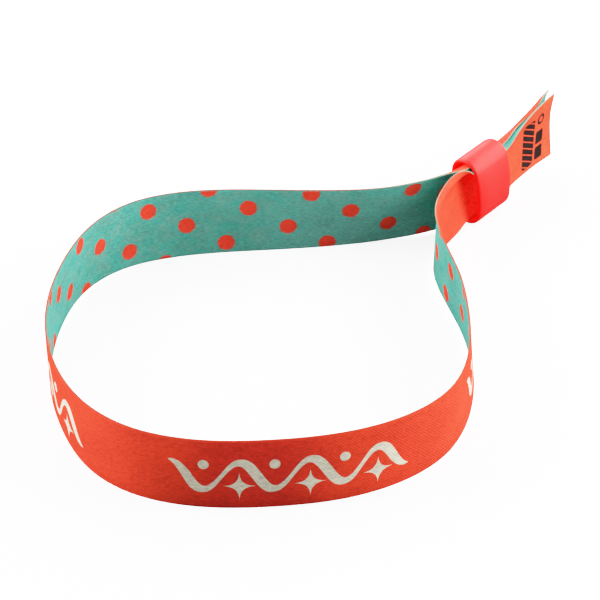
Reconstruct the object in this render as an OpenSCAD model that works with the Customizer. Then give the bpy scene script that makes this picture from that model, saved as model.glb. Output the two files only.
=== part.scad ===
// Festival wristband: one printed fabric strap, closed to a loop by a plastic
// slider that both of its ends run through. It stands on the strap's lower
// edge, and the origin is the middle of the wrist opening on that surface.

/* [Strap] */
// Width of the strap
strap_w = 15; // [14:0.5:15.5]
// Thickness of the cloth
strap_t = 1; // [1:0.05:1.1]
// Rings of the mesh between two posts of the route
steps = 4; // [3:1:6]

/* [Slider] */
// Length along the strap
slider_len = 11; // [9:0.5:11.5]
// Height of the oval sleeve
slider_h = 15.6; // [15.6:0.1:17]
// Thickness of the sleeve at the middle of its faces
slider_t = 7.8; // [7.7:0.05:8]
// Radius of the sleeve's round ends
slider_r = 3.5; // [3.4:0.05:3.6]
// Wall of the sleeve
slider_wall = 0.8; // [0.6:0.05:0.8]

/* [Hidden] */

// Where the sleeve's middle is, its heading seen from above, how far it tips
// up towards the tails, and how far its top leans back, in degrees
slider_at = [46.5, 59.4, 8.2];
slider_heading = 50;
slider_pitch = 3;
slider_lean = 4;

// The two layers in the sleeve: distance of each one's middle from the
// sleeve's own, width of cloth along each edge that rolls forward there, and
// by how many degrees. The sleeve is lower than the strap is wide.
back_layer = -2.2;
back_margin = 4.2;
back_roll = 100;
front_layer = -0.9;
front_margin = 4.4;
front_roll = 180;

// Columns of the route's posts: where the middle of the strap stands, how far
// its lower edge is off the surface, how many degrees its top leans outwards,
// and how many degrees its upper and lower edges are rolled, minus towards
// the inner face.
X = 0; Y = 1; LIFT = 2; LEAN = 3; TOP = 4; FOOT = 5;

back_tail = [
    [65.0, 87.0, 2.9, -1, 0, 0],
    [61.5, 82.5, 2.5, -1, 0, 0],
    [58.5, 78.0, 2.1, -1, -15, 0],
    [55.0, 74.0, 1.7,  0, -40, 0],
    [52.0, 70.0, 1.4,  3, -65, 0],
];
loop = [
    [36.5, 51.5, 0.7,  -4, -40, 0],
    [32.5, 49.0, 0.5, -10, 0, 0],
    [24.5, 46.5, 0.2, -14, 0, 0],
    [12.5, 45.0, 0.0,  -8, 0, 0],
    [-0.5, 44.5, 0.0,  -2, 0, 0],
    [-13.5, 44.0, 0.0,  3, 0, 0],
    [-26.5, 40.0, 0.3,  1, 0, 0],
    [-35.5, 30.0, 0.6, -5, 0, 0],
    [-39.5, 17.5, 0.6, -4, 0, 0],
    [-41.5, 4.5, 0.4,  -1, 0, 0],
    [-41.0, -8.5, 0.1,  2, 0, 0],
    [-38.0, -21.5, 0.0,  4, 0, 0],
    [-32.5, -33.5, 0.0,  1, 0, 0],
    [-23.0, -42.0, 0.0,  0, 0, 0],
    [-10.0, -45.5, 0.0,  0, 0, 0],
    [3.0, -45.0, 0.0,   0, 0, 0],
    [16.0, -43.0, 0.0,  0, 0, 0],
    [28.0, -37.5, 0.0,  2, 0, 0],
    [37.5, -28.0, 0.2,  3, 0, 0],
    [41.0, -15.0, 0.6, -2, 0, 0],
    [41.5, -2.0, 0.9,  -6, 0, 0],
    [40.5, 11.0, 1.0,  -5, 0, 0],
    [37.0, 23.5, 0.9,  -4, 0, 0],
    [35.5, 35.0, 0.9,   0, 0, 0],
    [36.5, 42.5, 0.9,   0, 0, 0],
    [39.0, 49.0, 0.9,   0, 0, 0],
];
front_tail = [
    [53.0, 69.0, 1.4, -3, 80, 0],
    [56.0, 73.0, 1.7,  1, 35, 0],
    [59.5, 77.0, 2.1,  3, 8, 0],
    [63.5, 81.5, 2.5,  2, 0, 0],
    [67.0, 85.5, 2.9,  2, 0, 0],
];

// Posts of the straight run through the sleeve, for a layer
slot_run = [7, 2.5, -2.5, -7];
function slot_post(along, layer, roll) =
    [slider_at[0] + along * cos(slider_heading) + layer * sin(slider_heading),
     slider_at[1] + along * sin(slider_heading) - layer * cos(slider_heading),
     slider_at[2] + along * sin(slider_pitch) - strap_w / 2,
     -slider_lean * sign(roll), roll, roll];
posts = concat(
    back_tail,
    [for (along = slot_run) slot_post(along, back_layer, -back_roll)],
    loop,
    [for (along = slot_run) slot_post(-along, front_layer, front_roll)],
    front_tail);

// Cubic spline near the posts: a place between the second and third of four,
// and the slope there
function place(a, b, c, d, t) =
    ((1 - t) ^ 3 * a + (3 * t ^ 3 - 6 * t ^ 2 + 4) * b
     + (-3 * t ^ 3 + 3 * t ^ 2 + 3 * t + 1) * c + t ^ 3 * d) / 6;
function slope(a, b, c, d, t) =
    (-(1 - t) ^ 2 * a + (3 * t ^ 2 - 4 * t) * b
     + (-3 * t ^ 2 + 2 * t + 1) * c + t ^ 2 * d) / 2;

// Places across the cloth in millimetres from its middle, with the steps in
// the two margins
margin_steps = 3;
function across(flat) = let(step = (strap_w / 2 - flat) / margin_steps) concat(
    [for (i = [margin_steps : -1 : 0]) -flat - i * step],
    [for (i = [0 : margin_steps]) flat + i * step]);

// A place on the rolled cloth: [up, forward, degrees that the cloth is turned]
function rolled(q, margin, angle) =
    let(past = abs(q) - strap_w / 2 + margin, turn = angle * past / margin, up = sign(q))
    past <= 0 || abs(turn) < 0.1 ? [q, 0, 0]
    : let(r = past * 180 / (turn * PI))
      [up * (strap_w / 2 - margin + r * sin(turn)), r * (1 - cos(turn)), up * turn];

// One ring round the cloth: up the inner face, then down the outer one
function ring(row, heading) =
    let(margin = row[TOP] < 0 ? back_margin : front_margin,
        places = [for (q = across(strap_w / 2 - margin))
            rolled(q, margin, q < 0 ? row[FOOT] : row[TOP])],
        out = [sin(heading), -cos(heading), 0],
        wide = out * sin(row[LEAN]) + [0, 0, cos(row[LEAN])],
        face = out * cos(row[LEAN]) - [0, 0, sin(row[LEAN])],
        mid = [row[X], row[Y], row[LIFT] + strap_w / 2 * cos(row[LEAN])],
        side = function (p, off)
            mid + wide * (p[0] - off * sin(p[2])) + face * (p[1] + off * cos(p[2])))
    concat([for (p = places) side(p, -strap_t / 2)],
           [for (i = [len(places) - 1 : -1 : 0]) side(places[i], strap_t / 2)]);

module strap() {
    spans = len(posts) - 3;
    rings = [for (i = [0 : spans - 1], k = [0 : steps - (i < spans - 1 ? 1 : 0)])
        let(t = k / steps, p = [for (j = [0 : 3]) posts[i + j]],
            row = place(p[0], p[1], p[2], p[3], t),
            way = slope(p[0], p[1], p[2], p[3], t))
        ring(row, atan2(way[1], way[0]))];
    n = len(rings[0]);
    last = len(rings) - 1;
    color("coral")
    polyhedron(
        points = [for (r = rings, p = r) p],
        faces = concat(
            [for (i = [0 : last - 1], j = [0 : n - 1]) each [
                [i * n + j, (i + 1) * n + j, i * n + (j + 1) % n],
                [(i + 1) * n + j, (i + 1) * n + (j + 1) % n, i * n + (j + 1) % n]]],
            [for (j = [0 : n / 2 - 2]) [j, j + 1, n - 2 - j, n - 1 - j]],
            [for (j = [0 : n / 2 - 2])
                [for (k = [n - 1 - j, n - 2 - j, j + 1, j]) last * n + k]]));
}

// An oval of four arcs, smaller all round by inset
module oval(inset) {
    end = slider_h / 2 - slider_r;
    face_r = (end ^ 2 + slider_t ^ 2 / 4 - slider_r ^ 2) / (slider_t - 2 * slider_r);
    face_x = face_r - slider_t / 2;
    meet = end * face_r / (face_r - slider_r);
    intersection() {
        translate([-face_x, 0]) circle(face_r - inset, $fn = 96);
        translate([face_x, 0]) circle(face_r - inset, $fn = 96);
        square([slider_t, 2 * meet], center = true);
    }
    for (s = [-1, 1]) translate([0, s * end]) circle(slider_r - inset, $fn = 96);
}

module slider() {
    color("tomato")
    translate(slider_at)
    rotate([0, 0, slider_heading])
    rotate([-slider_lean, -slider_pitch, 0])
    rotate([90, 0, 90])
    linear_extrude(slider_len, center = true)
    difference() {
        oval(0);
        oval(slider_wall);
    }
}

strap();
slider();
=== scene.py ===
# %% [markdown]
# # A festival wristband
# The band is one printed ribbon and one plastic slider. The ribbon makes a turn round
# the wrist, both of its ends run side by side through the slider, and two short tails
# are left over. It stands on the ribbon's lower edge, as a new band does on a table.
#
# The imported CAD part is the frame: it says where everything is and how large it is.
# This file makes the looks round it. All tables here are in millimetres, because a band
# is measured in millimetres, and points turn into metres when a mesh is made.

# %% Load the frame and keep its box
import math

import bpy
import numpy as np
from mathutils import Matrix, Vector


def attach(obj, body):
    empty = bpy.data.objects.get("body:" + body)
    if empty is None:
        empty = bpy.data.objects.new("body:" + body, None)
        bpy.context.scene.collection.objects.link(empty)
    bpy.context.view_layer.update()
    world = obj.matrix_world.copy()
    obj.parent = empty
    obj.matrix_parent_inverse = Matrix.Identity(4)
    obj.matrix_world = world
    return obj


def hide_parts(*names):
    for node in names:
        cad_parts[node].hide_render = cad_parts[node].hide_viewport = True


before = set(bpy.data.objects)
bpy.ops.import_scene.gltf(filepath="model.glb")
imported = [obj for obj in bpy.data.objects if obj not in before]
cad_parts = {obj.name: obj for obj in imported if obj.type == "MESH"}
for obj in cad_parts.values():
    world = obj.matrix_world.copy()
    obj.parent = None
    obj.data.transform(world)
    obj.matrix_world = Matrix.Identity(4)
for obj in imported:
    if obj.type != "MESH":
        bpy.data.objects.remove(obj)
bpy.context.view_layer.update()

MM = 0.001

# %% [markdown]
# ## The camera
# A small thing on a table is photographed with a long lens from a little way off, so
# that its near side isn't blown up. The camera looks down at the band by 33 degrees
# from 600 mm away. It aims a little to the right of the wrist opening and behind it,
# since the tails reach out there.

# %% Set up the camera
AIM = Vector((8.0, 25.5, 0.0)) * MM
TILT, DISTANCE, LENS = math.radians(33), 600 * MM, 176

camera_data = bpy.data.cameras.new("camera")
camera_data.lens = LENS
camera_data.clip_start, camera_data.clip_end = 0.05, 20
camera = bpy.data.objects.new("camera", camera_data)
camera.location = AIM + DISTANCE * Vector((0, -math.cos(TILT), math.sin(TILT)))
camera.rotation_euler = (math.pi / 2 - TILT, 0, 0)
bpy.context.scene.collection.objects.link(camera)
bpy.context.scene.camera = camera
print("camera stands at", [round(v, 3) for v in camera.location])

# %% [markdown]
# ## The way the ribbon runs
# A ribbon bends easily one way and hardly the other, so its shape is a line on the
# table plus a few angles. Each post below is one place on that line. A smooth spline
# runs near the posts, and it blends the angles in the same way. It could be a cloth
# simulation too, but this band has set into its shape in its bag, and a table follows
# such a shape closely. Most of the posts weren't chosen by hand: they come from a fit to
# the ribbon's edges in the photograph, and were rounded.
#
# Columns: X and Y of the ribbon's middle, LIFT of its lower edge off the table, LEAN
# of its top outwards in degrees, how far the upper margin (TOP) and the lower margin
# (FOOT) curl outwards, how far the last bit of the upper edge (LIP) curls outwards on
# top of that, and how wide the upper MARGIN is that curls.

# %% The posts of the route
X, Y, LIFT, LEAN, TOP, FOOT, LIP, MARGIN = range(8)
BACK_TAIL = [
    (64.8, 87.0, 2.4, -1, -20, -8, -7, 7.0),
    (60.9, 83.4, 2.9, -1, -12, -8, -10, 7.0),
    (57.6, 79.3, 2.1, -2, -34, -8, -35, 6.0),
    (55.2, 74.6, 1.7, 0, -49, 0, -30, 4.5),
    (52.7, 70.4, 1.4, 3, -55, 0, 0, 5.0),
]
LOOP = [
    (36.5, 51.5, 0.7, -4, -48, 0, 0, 4.0),
    (32.5, 49.0, 0.5, -10, -15, 0, 0, 4.0),
    (24.5, 46.5, 0.2, -14, 0, 0, 0, 4.0),
    (12.5, 45.0, 0.0, -8, 0, 0, 0, 4.0),
    (-0.5, 44.5, 0.0, -2, 0, 0, 0, 4.0),
    (-13.5, 44.0, 0.0, 3, 0, 0, 0, 4.0),
    (-26.5, 40.0, 0.3, 1, 0, 0, 0, 4.0),
    (-35.5, 30.0, 0.6, -5, 0, 0, 0, 4.0),
    (-39.5, 17.5, 0.6, -4, 0, 0, 0, 4.0),
    (-41.5, 4.5, 0.4, -1, 0, 0, 0, 4.0),
    (-41.0, -8.5, 0.1, 2, 0, 0, 0, 4.0),
    (-38.0, -21.5, 0.0, 4, -4, -6, 0, 6.0),
    (-32.5, -33.5, 0.0, 1, -6, -10, 0, 6.0),
    (-23.0, -42.0, 0.0, 0, -6, -12, 0, 6.0),
    (-10.0, -45.5, 0.0, 0, -6, -12, 0, 6.0),
    (3.0, -45.0, 0.0, 0, -6, -12, 0, 6.0),
    (16.0, -43.0, 0.0, 0, -6, -12, 0, 6.0),
    (28.0, -37.5, 0.0, 2, -6, -10, 0, 6.0),
    (37.5, -28.0, 0.2, 3, -4, -5, 0, 6.0),
    (41.0, -15.0, 0.6, -2, 0, 0, 0, 4.0),
    (41.5, -2.0, 0.9, -6, 0, 0, 0, 4.0),
    (40.5, 11.0, 1.0, -5, 0, 0, 0, 4.0),
    (37.0, 23.7, 0.9, -4, 0, 0, 0, 4.0),
    (35.5, 34.5, 1.3, 3, -10, 0, -15, 6.0),
    (36.9, 43.2, 0.8, 1, 30, 0, -68, 6.5),
    (40.1, 50.0, 1.7, -13, 62, 0, -104, 7.0),
]
FRONT_TAIL = [
    (52.8, 68.8, 1.4, -3, 70, 0, 0, 4.5),
    (56.3, 72.8, 1.7, 1, 23, 0, 0, 5.0),
    (59.5, 76.9, 2.1, 3, 6, 6, 0, 6.0),
    (62.9, 80.9, 2.5, 2, -1, 18, 0, 7.0),
    (66.4, 85.0, 2.9, 2, 8, 13, 0, 7.0),
]
print("posts: %d behind, %d in the loop, %d in front"
      % (len(BACK_TAIL), len(LOOP), len(FRONT_TAIL)))

# %% [markdown]
# ## Through the slider
# The slider is lower inside than the ribbon is wide. Both layers stand on its floor,
# lean back a little more than it does, and curl to the front under its roof, the one
# behind over the one in front. Their posts come from the slider's own place, heading,
# pitch and lean, which are the CAD's.

# %% The posts inside the slider
RIBBON_WIDTH, RIBBON_THICK = 15.0, 0.4
HALF = RIBBON_WIDTH / 2
SLIDER_AT = np.array([46.5, 59.4, 8.2])
HEADING, PITCH, SLIDER_LEAN = math.radians(50), math.radians(3), math.radians(4)
SLOT_RUN = [7, 2.5, -2.5, -7]
SLOT_LIFT = 0.9
BACK_LAYER = {"layer": -1.7, "lean": 12, "top": -105, "margin": 5.5}
FRONT_LAYER = {"layer": -1.15, "lean": -14, "top": 145, "margin": 5.3}


def slot_post(along, layer, lean, top, margin):
    """A post in the slider: along its axis, and layer millimetres before its middle."""
    x = SLIDER_AT[0] + along * math.cos(HEADING) + layer * math.sin(HEADING)
    y = SLIDER_AT[1] + along * math.sin(HEADING) - layer * math.cos(HEADING)
    lift = SLIDER_AT[2] + along * math.sin(PITCH) - HALF + SLOT_LIFT
    return (x, y, lift, lean, top, 0, 0, margin)


POSTS = np.array(
    BACK_TAIL
    + [slot_post(along, **BACK_LAYER) for along in SLOT_RUN]
    + LOOP
    + [slot_post(-along, **FRONT_LAYER) for along in SLOT_RUN]
    + FRONT_TAIL, float)
print(len(POSTS), "posts in all")

# %% [markdown]
# ## From posts to a smooth line
# A uniform cubic spline weighs four neighbouring posts. It doesn't go through them,
# but it never swings out between them, which is just how a springy ribbon behaves.
# The line is then cut again into equal steps, so that the print isn't stretched.

# %% Spline and equal steps
STEP = 0.6
FINE_PLACES = 6000


def spline(posts, t):
    """Rows of the table at the places t, which count posts."""
    i = np.minimum(t.astype(int), len(posts) - 4)
    u = (t - i)[:, None]
    a, b, c, d = (posts[i + k] for k in range(4))
    return ((1 - u) ** 3 * a + (3 * u ** 3 - 6 * u ** 2 + 4) * b
            + (-3 * u ** 3 + 3 * u ** 2 + 3 * u + 1) * c + u ** 3 * d) / 6


fine = np.linspace(0, len(POSTS) - 3, FINE_PLACES)
walked = spline(POSTS, fine)
paces = np.hypot(*np.diff(walked[:, :2], axis=0).T)
run = np.concatenate([[0], np.cumsum(paces)])
LENGTH = run[-1]
steps = int(round(LENGTH / STEP))
along = np.linspace(0, LENGTH, steps + 1)
rows = spline(POSTS, np.interp(along, run, fine))
way = np.gradient(rows[:, :2], along, axis=0)
turn = np.arctan2(way[:, 1], way[:, 0])
print("ribbon: %.1f mm long, %d steps" % (LENGTH, steps))

# %% [markdown]
# ## Across the ribbon
# Seen from its end, the ribbon is a line that is straight in the middle and curls in
# its margins. Its direction at each place is an angle, and adding up small steps in
# that direction gives its shape. That keeps its width: cloth doesn't stretch.

# %% Shape across the ribbon
ACROSS, FINE_ACROSS = 30, 300
LIP_WIDTH, LIP_BEND = 1.5, 0.7
FOOT_WIDTH = 4.0
places = np.linspace(-HALF, HALF, ACROSS + 1)


def share(start, width, q):
    """0 before start, 1 after start + width, even between."""
    return np.clip((q - start) / width, 0, 1)


def section(row):
    """Heights, depths and angles at the places across the ribbon, for one row."""
    q = np.linspace(-HALF, HALF, FINE_ACROSS + 1)
    margin = row[MARGIN]
    angle = np.radians(
        row[TOP] * share(HALF - margin, margin, q)
        + row[LIP] * share(HALF - LIP_WIDTH, LIP_BEND, q)
        - row[FOOT] * share(HALF - FOOT_WIDTH, FOOT_WIDTH, -q))
    mid, step = FINE_ACROSS // 2, q[1] - q[0]
    between = (angle[1:] + angle[:-1]) / 2
    height = np.concatenate([[0], np.cumsum(np.cos(between) * step)])
    depth = np.concatenate([[0], np.cumsum(np.sin(between) * step)])
    height, depth = height - height[mid], depth - depth[mid]
    return [np.interp(places, q, v) for v in (height, depth, angle)]


shapes = np.array([section(row) for row in rows])
height, depth, angle = shapes[:, 0], shapes[:, 1], shapes[:, 2]
print("narrowest section: %.1f mm high" % (height.max(1) - height.min(1)).min())

# %% [markdown]
# ## The middle surface
# Each section stands on its place on the line, leans with it, and faces outwards. The
# last one is cut a little unevenly, as scissors leave it: the cut's depth at a few
# places across the ribbon fades out over the last 4 mm.

# %% Stand the sections on the line
SNIP_PLACES = [-7.5, -5.5, -3, 0, 3, 5.5, 7.5]
SNIP_DEPTHS = [-0.15, 0, -0.3, -0.75, -1, -0.6, -0.2]
SNIP_REACH = 4.0

lean = np.radians(rows[:, LEAN])
level = np.stack([np.sin(turn), -np.cos(turn), 0 * turn], 1)
upright = np.array([[0, 0, 1.0]])
wide = level * np.sin(lean)[:, None] + upright * np.cos(lean)[:, None]
face = level * np.cos(lean)[:, None] - upright * np.sin(lean)[:, None]
middle = np.column_stack([rows[:, X], rows[:, Y], rows[:, LIFT] + HALF * np.cos(lean)])
surface = (middle[:, None] + wide[:, None] * height[..., None]
           + face[:, None] * depth[..., None])
onwards = np.array([math.cos(turn[-1]), math.sin(turn[-1]), 0])
snip = onwards * np.interp(places, SNIP_PLACES, SNIP_DEPTHS)[:, None]
surface += snip * share(LENGTH - SNIP_REACH, SNIP_REACH, along)[:, None, None]
normal = (face[:, None] * np.cos(angle)[..., None]
          - wide[:, None] * np.sin(angle)[..., None])
print("middle surface: %d by %d points" % surface.shape[:2])

# %% [markdown]
# ## From a surface to cloth
# Real cloth has two faces and a cut edge. The outer face, a rounded edge, the inner
# face and the other edge make one closed ring at each step along the ribbon. Making
# it from the middle surface by hand, and not with a Solidify modifier, keeps count of
# which face is which: they are printed differently.

# %% Rings round the cloth
EDGE_BENDS = 3


def ring_of(k):
    """Points at step k: up the outer face, over the edge, down the inner face and back."""
    half = RIBBON_THICK / 2
    p, n = surface[k], normal[k]
    points = list(p + n * half)
    for end, sign in ((-1, 1), (0, -1)):
        up = wide[k] * math.cos(angle[k][end]) + face[k] * math.sin(angle[k][end])
        bends = [math.pi * (i + 1) / (EDGE_BENDS + 1) for i in range(EDGE_BENDS)]
        points += [p[end] + half * (sign * n[end] * math.cos(b) + sign * up * math.sin(b))
                   for b in bends]
        if end == -1:
            points += list((p - n * half)[::-1])
    return points


ring = np.array([ring_of(k) for k in range(len(along))])
per_ring = ring.shape[1]
print("rings: %d, of %d points" % (len(ring), per_ring))

# %% [markdown]
# The first UV map, "cloth", is in millimetres: along the ribbon from the tip of the
# tail behind, and up from its mid-line. All prints are drawn in it. A cut edge is
# 0.4 mm wide there, from 7.5 at the outer face to 7.9 at the inner one.

# %% Faces between the rings, with their places on the cloth
OUTER, INNER, EDGE = 0, 1, 2
EDGE_MAP = 0.4

edge_step = EDGE_MAP / (EDGE_BENDS + 1)
up_face = list(zip(places, places[1:]))
edge_v = [(HALF + edge_step * i, HALF + edge_step * (i + 1)) for i in range(EDGE_BENDS + 1)]
side_v = (up_face + edge_v + [(b, a) for a, b in up_face[::-1]]
          + [(-b, -a) for a, b in edge_v[::-1]])
parts = ([OUTER] * ACROSS + [EDGE] * (EDGE_BENDS + 1)
         + [INNER] * ACROSS + [EDGE] * (EDGE_BENDS + 1))

quads, quad_parts, quad_uv = [], [], []
for k in range(steps):
    s0, s1 = along[k], along[k + 1]
    for j in range(per_ring):
        m = (j + 1) % per_ring
        quads.append((k * per_ring + j, (k + 1) * per_ring + j,
                      (k + 1) * per_ring + m, k * per_ring + m))
        quad_parts.append(parts[j])
        v0, v1 = side_v[j]
        quad_uv.append(((s0, v0), (s1, v0), (s1, v1), (s0, v1)))
print("faces along the ribbon:", len(quads))

# %% [markdown]
# The two cut ends are closed with a strip of small faces from one cloth face to the
# other. They take the look of the cut edge, from the middle of its width on the map.

# %% Cut ends, and the ribbon object
inner_first = ACROSS + 1 + EDGE_BENDS
for k, flip in ((0, True), (steps, False)):
    base = k * per_ring
    pairs = [(j, inner_first + ACROSS - j) for j in range(ACROSS + 1)]
    for (a, b), (c, d) in zip(pairs, pairs[1:]):
        corners = (base + a, base + b, base + d, base + c)
        quads.append(corners if flip else corners[::-1])
        quad_parts.append(EDGE)
        quad_uv.append(((along[k], HALF + EDGE_MAP / 2),) * 4)

ribbon_mesh = bpy.data.meshes.new("strap")
ribbon_mesh.from_pydata([tuple(p) for p in ring.reshape(-1, 3) * MM], [], quads)
ribbon_mesh.polygons.foreach_set("material_index", quad_parts)
ribbon_mesh.polygons.foreach_set("use_smooth", [True] * len(quads))
cloth_map = ribbon_mesh.uv_layers.new(name="cloth")
cloth_map.data.foreach_set("uv", np.array(quad_uv).reshape(-1))
ribbon_mesh.update()
ribbon = bpy.data.objects.new("printed_strap", ribbon_mesh)
bpy.context.scene.collection.objects.link(ribbon)
print("ribbon mesh:", len(quads), "faces")

# %% [markdown]
# A long thin ribbon would get only a few pixels across in a square texture. So a
# second UV map, "OFBake", cuts it into three lengths of about 127 mm, and an export
# can bake it sharply. The outer face with its edges, and the inner face, of each
# length lie over one another as six strips, and the faces of the cut ends above them.

# %% The map for baking
LENGTHS, STRIP_HIGH, BAKE_SIDE = 3, 17.0, 128
GAP_SIDE, GAP = 0.5, 1.0
CAP_WIDE, CAP_HIGH, CAP_ROW = 0.5, 1.0, 2.0

steps_each = -(-steps // LENGTHS)
bake_uv = []
for number, (uv, part) in enumerate(zip(quad_uv, quad_parts)):
    if number < steps * per_ring:
        length = number // per_ring // steps_each
        left = GAP_SIDE - along[length * steps_each]
        low = (2 * length + (part == INNER)) * STRIP_HIGH + HALF + GAP
        bake_uv.append([(left + s, low + v) for s, v in uv])
    else:
        end, j = divmod(number - steps * per_ring, ACROSS)
        left = GAP + j * CAP_WIDE
        low = 2 * LENGTHS * STRIP_HIGH + GAP + CAP_ROW * end
        bake_uv.append([(left, low), (left + CAP_WIDE, low),
                        (left + CAP_WIDE, low + CAP_HIGH), (left, low + CAP_HIGH)])
bake_uv = np.array(bake_uv) / BAKE_SIDE
bake_map = ribbon_mesh.uv_layers.new(name="OFBake")
bake_map.data.foreach_set("uv", bake_uv.reshape(-1))
ribbon_mesh.uv_layers.active = cloth_map
print("bake map reaches", bake_uv.reshape(-1, 2).max(0).round(3))

# %% [markdown]
# ## Shader sums in plain Python
# A material is a graph of nodes. Written one by one, even a wavy line takes a dozen of
# them. The small class below wraps an output socket, so that a sum in Python adds the
# Math nodes that work it out on the surface.

# %% A socket that can be used in sums
class Wire:
    """An output socket of a material's node tree."""

    def __init__(self, tree, socket):
        self.tree, self.socket = tree, socket

    def node(self, kind, settings=None, sockets=None, out=0):
        """Adds a node: its settings first, then values or links for its sockets."""
        made = self.tree.nodes.new(kind)
        for name, value in (settings or {}).items():
            if name == "stops":
                stops = made.color_ramp.elements
                while len(stops) < len(value):
                    stops.new(0.5)
                for stop, (place, colour) in zip(stops, value):
                    stop.position, stop.color = place, (*colour, 1)
            else:
                setattr(made, name, value)
        for name, value in (sockets or {}).items():
            if isinstance(value, Wire):
                self.tree.links.new(value.socket, made.inputs[name])
            else:
                made.inputs[name].default_value = value
        return Wire(self.tree, made.outputs[out])

    def math(self, operation, *others):
        """A Math node on this value and the others."""
        return self.node("ShaderNodeMath", {"operation": operation},
                         dict(enumerate((self, *others))))

    def output(self, out):
        """Another output of the same node."""
        return Wire(self.tree, self.socket.node.outputs[out])

    def mix(self, first, second):
        """Colour first where the wire is 0, second where it is 1."""
        # a Mix node has sockets for every kind of data: 6, 7 and output 2 are its colours
        return self.node("ShaderNodeMix", {"data_type": "RGBA"},
                         {0: self, 6: first, 7: second}, 2)

    def tint(self, tone):
        """The colour times a tone round 1."""
        grey = self.node("ShaderNodeCombineXYZ", {}, {0: tone, 1: tone, 2: tone})
        return self.node("ShaderNodeVectorMath", {"operation": "MULTIPLY"}, {0: self, 1: grey})

    def bump(self, depth):
        """A normal from a height, where a height of 1 is depth metres."""
        return self.node("ShaderNodeBump", {}, {"Height": self, "Distance": depth})

    def below(self, edge, soft):
        """1 below the edge, 0 above it, and even over soft in between."""
        return self.node("ShaderNodeMath", {"operation": "ADD", "use_clamp": True},
                         {0: (edge - self) * (1 / soft), 1: 0.5})

    def above(self, edge, soft):
        """0 below the edge, 1 above it, and even over soft in between."""
        return 1 - self.below(edge, soft)

    def __add__(self, other): return self.math("ADD", other)
    def __sub__(self, other): return self.math("SUBTRACT", other)
    def __mul__(self, other): return self.math("MULTIPLY", other)
    def __truediv__(self, other): return self.math("DIVIDE", other)
    def __neg__(self): return self.math("MULTIPLY", -1)
    def __rsub__(self, other): return -self + other
    def __rtruediv__(self, other): return self.math("POWER", -1) * other
    def __abs__(self): return self.math("ABSOLUTE")
    __radd__, __rmul__ = __add__, __mul__


print("sums on sockets are ready")

# %% [markdown]
# ## How a material starts
# Every material here is one Principled shader. What is the same all over, such as how
# much it mirrors, is set on the shader itself. Only colours, roughness and bump are
# worked out from patterns.

# %% A new material
def new_material(name, settings):
    """A material whose Principled shader has these settings, and a wire to build on."""
    material = bpy.data.materials.new(name)
    material.use_nodes = True
    shader = material.node_tree.nodes["Principled BSDF"]
    for socket, value in settings.items():
        shader.inputs[socket].default_value = value
    return material, Wire(material.node_tree, None)


def plug(material, sockets):
    """Links wires to the shader's sockets, and tells how large the graph is."""
    shader = material.node_tree.nodes["Principled BSDF"]
    for socket, wire in sockets.items():
        wire.tree.links.new(wire.socket, shader.inputs[socket])
    print(material.name, "has", len(material.node_tree.nodes), "nodes")


print("materials can be made")

# %% [markdown]
# ## The cloth itself
# The ribbon is a fine polyester twill. Three things make it look so from close up:
# diagonal ribs half a millimetre apart, which small grains break up, soft wisps along
# the ribbon where yarns took the dye a little differently, and slow patches in the
# tone. A photographed weave could be tiled over it, but it would repeat, and patterns
# worked out from the place don't. Both faces share them, so they are made by one
# function, which gives a tone round 1 and a height.

# %% Places on the cloth, and noise in them
def cloth_places(wire):
    """Millimetres along and up the ribbon."""
    uv = wire.node("ShaderNodeUVMap", {"uv_map": "cloth"})
    split = uv.node("ShaderNodeSeparateXYZ", {}, {0: uv})
    return split, split.output(1)


def noise(s, q, per_mm, detail, seed):
    """Soft noise round 0.5, with its own patches per millimetre along and up."""
    place = s.node("ShaderNodeCombineXYZ", {}, {0: s * per_mm[0] + seed, 1: q * per_mm[1]})
    return s.node("ShaderNodeTexNoise", {"noise_dimensions": "2D"},
                  {"Vector": place, "Scale": 1, "Detail": detail})


print("places and noise are ready")

# %% [markdown]
# The ribs run at 45 degrees, and a slow noise bends them a little, as no cloth lies
# quite straight. Each pattern has its own share in the tone and in the height: the
# ribs and grains are real threads, and the patches are only dye.

# %% Weave, wisps and patches
RIBS_PER_MM, RIB_SWAY = (1.45, 1.5), 0.7
RIB_TONE, GRAIN_TONE, WISP_TONE, PATCH_TONE = 0.07, 0.8, 0.35, 0.4
RIB_RISE, GRAIN_RISE, WISP_RISE = 0.4, 1.5, 0.6
THREAD_RELIEF = 0.05 * MM


def weave(s, q):
    """The tone and the height of the cloth, both round 1."""
    sway = noise(s, q, per_mm=(0.4, 0.4), detail=2, seed=3) * RIB_SWAY
    grains = noise(s, q, per_mm=(1.1, 2.8), detail=2, seed=11)
    ribs = ((s * RIBS_PER_MM[0] + q * RIBS_PER_MM[1] + sway) * 2 * math.pi).math("SINE") * grains
    wisps = noise(s, q, per_mm=(0.35, 1.0), detail=3, seed=5) - 0.5
    patches = noise(s, q, per_mm=(0.10, 0.16), detail=2, seed=7) - 0.5
    grains = grains - 0.5
    tone = (1 + ribs * RIB_TONE + grains * GRAIN_TONE + wisps * WISP_TONE
            + patches * PATCH_TONE)
    bulk = 1 + ribs * RIB_RISE + grains * GRAIN_RISE + wisps * WISP_RISE
    return tone, bulk


CLOTH = {"Roughness": 0.7, "Specular IOR Level": 0.08}
print("ribs: %.2f mm apart" % (1 / math.hypot(*RIBS_PER_MM)))

# %% [markdown]
# ## The ornament of the outer face
# Four times round the wrist the outer face has a pale ornament: a wave that swells and
# thins like a pen stroke, with four-pointed sparkles under its crests and dots over its
# troughs. It could be drawn in a picture and laid on, but a formula stays sharp from
# any distance.
#
# Each form is a distance in millimetres, worked out from the place on the ribbon, and
# is inside where the distance is below zero. The Modulo of a Math node keeps the sign
# of a number, so a whole count of periods is added first to make it positive.

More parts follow.
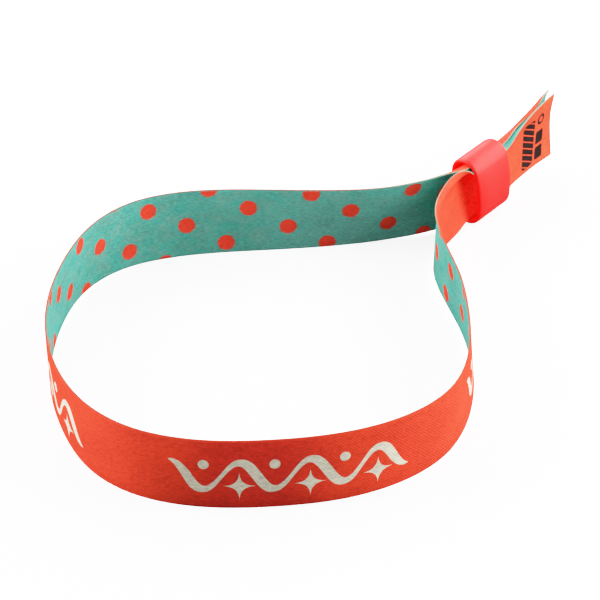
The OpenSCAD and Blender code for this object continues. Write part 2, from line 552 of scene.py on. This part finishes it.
# %% The wave ornament
GROUP_START, GROUP_PERIOD, GROUP_LONG = 3.0, 66.5, 45.8
PRINT_FROM, PRINT_TO = 60, 330
WAVE_LONG, WAVE_HIGH, STROKE, STROKE_SWELL, TAPER = 13.1, 3.0, 0.72, 0.33, 4
SPARKLE_DOWN, SPARKLE_SIZE, DOT_UP, DOT_SIZE = 2.2, 3.2, 2.5, 1.0
WAVES_WITH_CHARMS = 1.52
PRINT_SOFT, BARE_SOFT = 0.12, 0.1
PERIODS_ASIDE = 10


def from_nearest(place, period):
    """How far a place is from the nearest multiple of the period."""
    positive = place + period * (PERIODS_ASIDE + 0.5)
    return positive.math("MODULO", period) - period / 2


def ornament(s, q):
    """1 in the pale ornament of the outer face, 0 outside it."""
    x = (s + GROUP_PERIOD - GROUP_START).math("MODULO", GROUP_PERIOD) - GROUP_LONG / 2
    phase = x * (2 * math.pi / WAVE_LONG)
    slope = phase.math("COSINE") * (WAVE_HIGH * 2 * math.pi / WAVE_LONG)
    off = abs(q - phase.math("SINE") * WAVE_HIGH) / (slope * slope + 1).math("SQRT")
    taper = ((GROUP_LONG / 2 - abs(x)) / TAPER).math("MINIMUM", 1).math("MAXIMUM", 0)
    wave = off - (STROKE - phase.math("COSINE") * STROKE_SWELL) * taper.math("SQRT")

    crest = from_nearest(x - WAVE_LONG / 4, WAVE_LONG)
    trough = from_nearest(x + WAVE_LONG / 4, WAVE_LONG)
    arms = abs(crest).math("SQRT") + abs(q + SPARKLE_DOWN).math("SQRT")
    sparkle = arms * arms - SPARKLE_SIZE
    dot = (trough * trough + (q - DOT_UP) * (q - DOT_UP)).math("SQRT") - DOT_SIZE
    beyond = abs(x) - WAVES_WITH_CHARMS * WAVE_LONG
    charms = sparkle.math("MINIMUM", dot).math("MAXIMUM", beyond)
    forms = wave.math("MINIMUM", charms).math("MAXIMUM", abs(x) - GROUP_LONG / 2)
    printed = s.above(PRINT_FROM, BARE_SOFT) * s.below(PRINT_TO, BARE_SOFT)
    return forms.below(0, PRINT_SOFT) * printed


print("ornament: %.1f mm long, every %.1f mm" % (GROUP_LONG, GROUP_PERIOD))

# %% [markdown]
# ## The dark mark on the tail
# Near its end the outer face has a small dark mark: a plain block with slits, two bars
# and a ring. They are distances too, and the least of them says how near the closest
# form is.

# %% The block, the bars and the ring
MARK_START = 368.1
BLOCK_AT, BLOCK_HALF, BLOCK_ROUND = (2.1, -0.9), (2.1, 5.7), 1.0
SLITS_PER_MM, SLITS_APART, SLIT_HALF = (0.35, 0.62), 1.4, 0.13
BARS_AT, BARS_APART, BAR_HALF, BAR_ROUND = (6.2, -2.65), 1.95, (1.35, 1.6), 0.5
RING_AT, RING_RADIUS, RING_LINE = (6.3, 3.7), 1.0, 0.3
MARK_SOFT = 0.1


def box_form(x, y, half, radius):
    """Distance to a rounded rectangle round 0, 0."""
    dx = (abs(x) - (half[0] - radius)).math("MAXIMUM", 0)
    dy = (abs(y) - (half[1] - radius)).math("MAXIMUM", 0)
    return (dx * dx + dy * dy).math("SQRT") - radius


def tail_mark(s, q):
    """1 in the dark mark, 0 outside it."""
    x = s - MARK_START
    block = box_form(x - BLOCK_AT[0], q - BLOCK_AT[1], BLOCK_HALF, BLOCK_ROUND)
    slits = (q * SLITS_PER_MM[1] + s * SLITS_PER_MM[0]).math("FRACT") - 0.5
    block = block.math("MAXIMUM", SLIT_HALF - abs(slits) * SLITS_APART)
    bars = box_form(x - BARS_AT[0], abs(q - BARS_AT[1]) - BARS_APART, BAR_HALF, BAR_ROUND)
    across, up = x - RING_AT[0], q - RING_AT[1]
    ring_form = abs((across * across + up * up).math("SQRT") - RING_RADIUS) - RING_LINE
    return block.math("MINIMUM", bars).math("MINIMUM", ring_form).below(0, MARK_SOFT)


print("dark mark: starts %.1f mm before the tip" % (LENGTH - MARK_START))

# %% [markdown]
# ## The outer face
# Dye is pressed into white cloth by heat, so the print has soft edges and takes the
# weave of the cloth. The ground is a warm coral. In one stretch in the middle of the
# front it is painted a deeper, darker coral, which is painted shade, and near the tip of
# the front tail a paler coral, which is painted light. The ornament and the mark are
# laid over it with Mix nodes, and the weave's tone is multiplied in last.

# %% Outer cloth
CORAL = (0.97, 0.044, 0.018, 1)
# painted shade: a deeper, darker coral for the shaded middle of the front
PAINTED_SHADE_CORAL = (0.78, 0.029, 0.016, 1)
# painted light: a paler coral for the brightly lit tip of the front tail
PAINTED_LIGHT_CORAL = (0.97, 0.074, 0.030, 1)
CREAM = (0.80, 0.73, 0.55, 1)
INK = (0.014, 0.007, 0.006, 1)
# an edge, and how softly it is crossed, in millimetres along the ribbon
FRONT_SHADE_FROM, FRONT_SHADE_TO, TAIL_LIGHT_FROM = (208, 8), (229, 12), (366, 16)

outer_cloth, start = new_material("coral_print", CLOTH)
s, q = cloth_places(start)
tone, bulk = weave(s, q)
pale, ink = ornament(s, q), tail_mark(s, q)
# painted shade on a stretch in the middle of the front
painted_front_shade = s.above(*FRONT_SHADE_FROM) * s.below(*FRONT_SHADE_TO)
# painted light on the tip of the front tail
painted_tail_light = s.above(*TAIL_LIGHT_FROM)
ground = painted_tail_light.mix(painted_front_shade.mix(CORAL, PAINTED_SHADE_CORAL), PAINTED_LIGHT_CORAL)
printed = ink.mix(pale.mix(ground, CREAM), INK)
plug(outer_cloth, {"Base Color": printed.tint(tone), "Normal": bulk.bump(THREAD_RELIEF)})

# %% [markdown]
# ## The dots of the inner face
# Inside, the ribbon is sea green with coral dots. The dots stand on a square grid that
# is turned by about 30 degrees, so no row of them runs along the edge. The place of a
# point inside its own cell of that grid says how far it is from the dot's middle, and
# DOT_S and DOT_Q are the place of one dot. The grid's numbers were fitted to the dots
# in the photograph. Along the front the rows drift by 4 mm, as a print does where the
# cloth was pulled.

# %% Dots on a turned grid
DOT_STEP, DOT_TURN, DOT_RADIUS = 9.526, math.radians(29.81), 1.8
DOT_S, DOT_Q = 101.95, 4.39
DRIFT_FROM, DRIFT_LONG, DRIFT = 170, 80, 4.0
DOT_RAGGED, DOT_SOFT = 0.3, 0.25


def dots(s, q):
    """1 in the dots of the inner face, 0 between them."""
    drift = ((s - DRIFT_FROM) / DRIFT_LONG).math("MAXIMUM", 0).math("MINIMUM", 1) * DRIFT
    far, high = DOT_S - s - drift, q - DOT_Q
    a = (far * math.cos(DOT_TURN) - high * math.sin(DOT_TURN)) / DOT_STEP
    b = (far * math.sin(DOT_TURN) + high * math.cos(DOT_TURN)) / DOT_STEP
    a, b = a - a.math("ROUND"), b - b.math("ROUND")
    ragged = (noise(s, q, per_mm=(1.5, 1.5), detail=1, seed=21) - 0.5) * DOT_RAGGED
    return ((a * a + b * b).math("SQRT") * DOT_STEP - DOT_RADIUS + ragged).below(0, DOT_SOFT)


print("dots: %.1f mm across, %.1f mm apart" % (2 * DOT_RADIUS, DOT_STEP))

# %% [markdown]
# ## The inner face
# The green is a little worn in slow patches. At the back of the loop, the stretch next
# to the slider is painted a paler green, most in its lower half: painted light, as if
# light came up from the floor. Where a dot's red meets the green, both dyes lie
# over one another and make a thin darker rim.

# %% Inner cloth
SEA_GREEN = (0.056, 0.336, 0.265, 1)
WORN_GREEN = (0.10, 0.315, 0.25, 1)
# painted light: a paler green, as if light came up from the floor
PAINTED_LIGHT_GREEN = (0.14, 0.43, 0.365, 1)
DOT_RED = (0.98, 0.042, 0.021, 1)
WORN_ABOVE = (0.5, 0.35)
BOUNCE_FROM, BOUNCE_TO = (44.5, 7), (71.5, 27)
BOUNCE_SHARE, BOUNCE_FADE, RIM_DARK = 0.7, 0.06, 1.6

inner_cloth, start = new_material("dotted_print", CLOTH)
s, q = cloth_places(start)
tone, bulk = weave(s, q)
worn = noise(s, q, per_mm=(0.25, 0.4), detail=3, seed=41).above(*WORN_ABOVE)
# painted light, most in the lower half of the stretch next to the slider
painted_bounce = s.below(*BOUNCE_TO) * s.above(*BOUNCE_FROM) * (BOUNCE_SHARE - q * BOUNCE_FADE)
green = painted_bounce.mix(worn.mix(SEA_GREEN, WORN_GREEN), PAINTED_LIGHT_GREEN)
spot = dots(s, q)
rim = 1 - spot * (1 - spot) * RIM_DARK
plug(inner_cloth, {"Base Color": spot.mix(green, DOT_RED).tint(tone * rim),
                   "Normal": bulk.bump(THREAD_RELIEF)})

# %% [markdown]
# ## The edges
# The band is cut from a printed web. Near both ends the cut edge is pale, and its
# undyed yarns show as a pale line. Along the rest of the ribbon the coral dye reaches
# further round the cut, and the ramp is dark in its middle, which is painted shade.
# A colour ramp runs across the edge for each of the two states, and fine fibres fray
# the borders between its colours.

# %% Edge cloth
PALE_EDGE_STOPS = [(0.15, (0.62, 0.05, 0.022)), (0.38, (0.40, 0.27, 0.17)),
                (0.60, (0.24, 0.32, 0.24)), (0.85, (0.06, 0.28, 0.22))]
# coral dye, and a dark middle that is painted shade, for the edge along most of the ribbon
SHADED_EDGE_STOPS = [(0.30, (0.60, 0.035, 0.014)), (0.62, (0.38, 0.06, 0.035)),
              (0.80, (0.10, 0.10, 0.07)), (0.95, (0.05, 0.25, 0.20))]
PALE_BEFORE, PALE_AFTER, FRAY = (52, 16), (322, 16), 0.35

edge_cloth, start = new_material("cut_edge", {**CLOTH, "Roughness": 0.85})
s, q = cloth_places(start)
fibres = noise(s, q, per_mm=(2.5, 2), detail=2, seed=31)
round_edge = (abs(q) - HALF) / EDGE_MAP + (fibres - 0.5) * FRAY
pale_edge = round_edge.node("ShaderNodeValToRGB", {"stops": PALE_EDGE_STOPS}, {0: round_edge})
# painted shade on the edge along most of the ribbon
shaded_edge = round_edge.node("ShaderNodeValToRGB", {"stops": SHADED_EDGE_STOPS}, {0: round_edge})
near_ends = s.below(*PALE_BEFORE).math("MAXIMUM", s.above(*PALE_AFTER))
plug(edge_cloth, {"Base Color": near_ends.mix(shaded_edge, pale_edge),
                  "Normal": fibres.bump(THREAD_RELIEF)})

for material in (outer_cloth, inner_cloth, edge_cloth):
    ribbon_mesh.materials.append(material)

# %% [markdown]
# ## The slider
# The slider is a short piece of moulded tube with an oval section of four arcs: two
# long flat ones for its faces and two small ones for its ends. It could be an extruded
# outline with a Bevel modifier, but each of its rims is rounded differently. So the
# wall is drawn as one closed outline of (along, depth below the outer face) pairs, and
# the oval carries it round.

# %% The oval of the slider
OVAL_HIGH, OVAL_WIDE, END_RADIUS, WALL, SLEEVE = 15.6, 7.8, 3.5, 0.8, 11.0
FACE_STEPS, END_STEPS = 26, 30

end_up = OVAL_HIGH / 2 - END_RADIUS
face_bend = ((end_up ** 2 + OVAL_WIDE ** 2 / 4 - END_RADIUS ** 2)
             / (OVAL_WIDE - 2 * END_RADIUS))
face_back = face_bend - OVAL_WIDE / 2
face_angle = math.atan2(end_up, face_back)


def oval():
    """Points (across, up) of the oval, with the way out of it at each."""
    turns = [face_angle, math.pi - face_angle, math.pi + face_angle, 2 * math.pi - face_angle]
    arcs = [((-face_back, 0), face_bend, -face_angle, turns[0], FACE_STEPS),
            ((0, end_up), END_RADIUS, turns[0], turns[1], END_STEPS),
            ((face_back, 0), face_bend, turns[1], turns[2], FACE_STEPS),
            ((0, -end_up), END_RADIUS, turns[2], turns[3], END_STEPS)]
    for middle, radius, first, last, count in arcs:
        for a in np.linspace(first, last, count, endpoint=False):
            out = np.array([math.cos(a), math.sin(a)])
            yield np.array(middle) + radius * out, out


ovals = list(oval())
print("oval: %d points, faces bend with a radius of %.1f mm" % (len(ovals), face_bend))

# %% [markdown]
# The rim at the tails is rounded softly on its outside, as it faced the mould's
# opening, and the one before the loop more tightly. Both have a small rounding inside,
# so that the cloth slips in. A rounding is a quarter of an ellipse.

# %% The wall of the slider
FILLET_STEPS = 5
NEAR_ROUND, FAR_ROUND, INSIDE_ROUND = (0.55, 0.45), (0.9, 0.45), (0.3, 0.3)
EVEN_FROM = 3


def fillet(middle, radii, first):
    """A quarter turn of an ellipse round middle, from the angle first."""
    return [(middle[0] + radii[0] * math.cos(a), middle[1] + radii[1] * math.sin(a))
            for a in np.linspace(first, first + math.pi / 2, FILLET_STEPS + 1)]


near, far = -SLEEVE / 2, SLEEVE / 2
inside_at = INSIDE_ROUND[0], WALL - INSIDE_ROUND[1]
outer_line = (fillet((near + NEAR_ROUND[0], NEAR_ROUND[1]), NEAR_ROUND, math.pi)
              + [(near + EVEN_FROM, 0), (0, 0), (far - EVEN_FROM, 0)]
              + fillet((far - FAR_ROUND[0], FAR_ROUND[1]), FAR_ROUND, -math.pi / 2)
              + fillet((far - inside_at[0], inside_at[1]), INSIDE_ROUND, 0))
inner_line = ([(far - EVEN_FROM, WALL), (0, WALL), (near + EVEN_FROM, WALL)]
              + fillet((near + inside_at[0], inside_at[1]), INSIDE_ROUND, math.pi / 2))
outline = outer_line + inner_line
print("outline of the wall:", len(outline), "points")

# %% [markdown]
# The slider lies along the ribbon's heading there, tips up a little towards the tails,
# and leans back. Three directions hold that: along its axis, across it to the front,
# and up. Its UV map, "wall", counts points round the oval and along the outline, so a
# material can tell the rims and the inside from the rest.

# %% Slider mesh
axis = np.array([math.cos(HEADING) * math.cos(PITCH), math.sin(HEADING) * math.cos(PITCH),
                 math.sin(PITCH)])
outward = np.array([math.sin(HEADING), -math.cos(HEADING), 0])
topward = np.cross(outward, axis)
across_way = outward * math.cos(SLIDER_LEAN) + topward * math.sin(SLIDER_LEAN)
up_way = topward * math.cos(SLIDER_LEAN) - outward * math.sin(SLIDER_LEAN)
points = [SLIDER_AT + axis * x + across_way * (p[0] - out[0] * inset)
          + up_way * (p[1] - out[1] * inset)
          for p, out in ovals for x, inset in outline]

faces, wall_uv = [], []
count = len(outline)
for i in range(len(ovals)):
    here, there = i * count, (i + 1) % len(ovals) * count
    for j in range(count):
        after = (j + 1) % count
        faces.append((here + j, here + after, there + after, there + j))
        wall_uv.append(((i, j), (i, j + 1), (i + 1, j + 1), (i + 1, j)))

slider_mesh = bpy.data.meshes.new("slider")
slider_mesh.from_pydata([tuple(p * MM) for p in points], [], faces)
slider_mesh.polygons.foreach_set("use_smooth", [True] * len(faces))
wall_map = slider_mesh.uv_layers.new(name="wall")
wall_map.data.foreach_set("uv", np.array(wall_uv, float).reshape(-1))
slider_mesh.update()
sleeve = bpy.data.objects.new("oval_slider", slider_mesh)
bpy.context.scene.collection.objects.link(sleeve)
print("slider:", len(faces), "faces, %.1f by %.1f by %.1f mm" % tuple(sleeve.dimensions / MM))

# %% [markdown]
# ## Fluorescent plastic
# The slider is dyed right through with a fluorescent red. Such a dye turns some of
# the light it takes up into red, so it looks brighter than paint could, and most at
# thin edges. A little emission of pure red, which is a painted glow, stands in for that,
# with light that spreads under the surface. The rim before the loop and the inside are
# painted a purer red: painted glow, for light that comes through the wall. The mould
# left a satin finish with a faint orange-peel.

# %% Slider plastic
PLASTIC_RED, CLOUDY_RED = (1.0, 0.015, 0.013, 1), (1.0, 0.023, 0.020, 1)
# painted glow: the pure red of the emission, the rim before the loop and the inside
PAINTED_GLOW_RED = (1.0, 0.005, 0.003, 1)
RIM_SOFT, INSIDE_SOFT = 2, 1
PEEL_PER_M, CLOUD_PER_M, PEEL_RELIEF = 1600, 220, 0.02 * MM
SATIN, SATIN_CHANGE = 0.37, 0.12

# the emission of pure red is a painted glow
plastic, start = new_material("neon_plastic", {
    "Specular IOR Level": 0.24, "Subsurface Weight": 0.2,
    "Subsurface Scale": 0.002, "Subsurface Radius": (1.0, 0.25, 0.2),
    "Emission Color": PAINTED_GLOW_RED, "Emission Strength": 0.15})
wall = start.node("ShaderNodeUVMap", {"uv_map": "wall"})
wall = wall.node("ShaderNodeSeparateXYZ", {}, {0: wall}, 1)
glowing_rim, glowing_inside = wall.below(FILLET_STEPS, RIM_SOFT), wall.above(len(outer_line), INSIDE_SOFT)
place = start.node("ShaderNodeTexCoord", out=3)
peel = start.node("ShaderNodeTexNoise", {}, {"Vector": place, "Scale": PEEL_PER_M, "Detail": 2})
cloud = start.node("ShaderNodeTexNoise", {}, {"Vector": place, "Scale": CLOUD_PER_M, "Detail": 2})
# painted glow on the rim before the loop and on the inside
red = glowing_rim.math("MAXIMUM", glowing_inside).mix(cloud.mix(PLASTIC_RED, CLOUDY_RED), PAINTED_GLOW_RED)
plug(plastic, {"Base Color": red, "Roughness": cloud * SATIN_CHANGE + SATIN,
               "Normal": peel.bump(PEEL_RELIEF)})
slider_mesh.materials.append(plastic)

# %% [markdown]
# ## The floor
# The band stands on a white sweep. The floor is lit like any white card, but it doesn't
# throw its light back on the band or mirror in it, as if it lay a long way below: that
# keeps both the white floor and the deep shades of the cloth. It is a stage, not a part
# of the band.

# %% Floor
FLOOR_HALF = 3

floor_mesh = bpy.data.meshes.new("floor")
floor_mesh.from_pydata([(-FLOOR_HALF, -FLOOR_HALF, 0), (FLOOR_HALF, -FLOOR_HALF, 0),
                        (FLOOR_HALF, FLOOR_HALF, 0), (-FLOOR_HALF, FLOOR_HALF, 0)],
                       [], [(0, 1, 2, 3)])
floor = bpy.data.objects.new("floor", floor_mesh)
floor.visible_diffuse = floor.visible_glossy = False
bpy.context.scene.collection.objects.link(floor)
white, _ = new_material("white_sweep", {
    "Base Color": (0.93, 0.93, 0.93, 1), "Roughness": 0.9, "Specular IOR Level": 0.1,
    "Emission Color": (1, 1, 1, 1), "Emission Strength": 0.75})
floor_mesh.materials.append(white)
print("floor: %d m wide" % (2 * FLOOR_HALF))

# %% [markdown]
# ## The light
# The band stands between a soft light on the left and a wider one on the right, as both
# sides of the loop are bright and its front is in shade. A small low light on either
# side reaches into the loop and under the curl of the cloth before the slider. Weak ones
# above and in front lift the rest, one behind on the right lights the inner face on the
# left, and one behind gives the slider's top its satin sheen. One large lamp could light
# it all, but then no side would be dark, and shade is what shows the ribbon's curves.

# %% Lights
ROOM_LIGHT = 0.05
BAND_MIDDLE = Vector((0, 0.01, 0))
LIGHTS = [  # name, place and size in metres, watts
    ("light_above", (0, 0, 0.6), 0.5, 0.3),
    ("light_front", (0, -0.25, 0.5), 0.3, 0.6),
    ("light_left", (-0.6, 0, 0.25), 0.5, 5.2),
    ("light_left_low", (-0.3, 0.02, 0.15), 0.2, 0.2),
    ("light_right", (0.6, 0.02, 0.3), 0.8, 3.6),
    ("light_right_low", (0.25, -0.05, 0.12), 0.2, 0.65),
    ("light_right_back", (0.45, 0.45, 0.3), 0.4, 2.6),
    ("light_back", (-0.2, 0.6, 0.4), 0.5, 3.8),
]

world = bpy.data.worlds.new("light_tent")
bpy.context.scene.world = world
world.use_nodes = True
background = world.node_tree.nodes["Background"].inputs
background["Color"].default_value = (1, 1, 1, 1)
background["Strength"].default_value = ROOM_LIGHT

for name, place, size, watts in LIGHTS:
    data = bpy.data.lights.new(name, "AREA")
    data.size, data.energy = size, watts
    light = bpy.data.objects.new(name, data)
    light.location = place
    facing = BAND_MIDDLE - Vector(place)
    light.rotation_euler = facing.to_track_quat("-Z", "Y").to_euler()
    bpy.context.scene.collection.objects.link(light)
print("lights: %d, %.1f W together" % (len(LIGHTS), sum(watts for *_, watts in LIGHTS)))

# %% [markdown]
# ## How the camera takes bright colours
# A camera doesn't clip bright colours: like film, it presses them together towards
# white. The curve below does the same, so that a brightly lit coral stays coral and
# doesn't turn pink. It is a plain exponential, drawn through a few points.

# %% Film curve
GAIN, WHITE = 2.2, 3.0
CURVE_AT = (0.1, 0.22, 0.36, 0.52, 0.72, 1.0, 1.4, 2.0)
ALL_CHANNELS = 3

look = bpy.context.scene.view_settings
look.view_transform = "Standard"
look.use_curve_mapping = True
look.curve_mapping.white_level = (WHITE, WHITE, WHITE)
bend = look.curve_mapping.curves[ALL_CHANNELS]
for bright in CURVE_AT:
    bend.points.new(bright / WHITE, 1 - math.exp(-GAIN * bright))
look.curve_mapping.update()
print("film curve:", len(bend.points), "points, mid-grey 0.18 becomes %.2f"
      % (1 - math.exp(-GAIN * 0.18)))

# %% [markdown]
# ## Tie the looks to the frame
# Both pieces ride on the one body of the band. Each stands for its CAD solid, which
# is then hidden.

for piece, node, finish in ((ribbon, "strap", "strap_fabric"),
                            (sleeve, "slider", "slider_plastic")):
    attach(piece, "root")
    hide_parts(node)
    print(piece.name, "stands for", node)
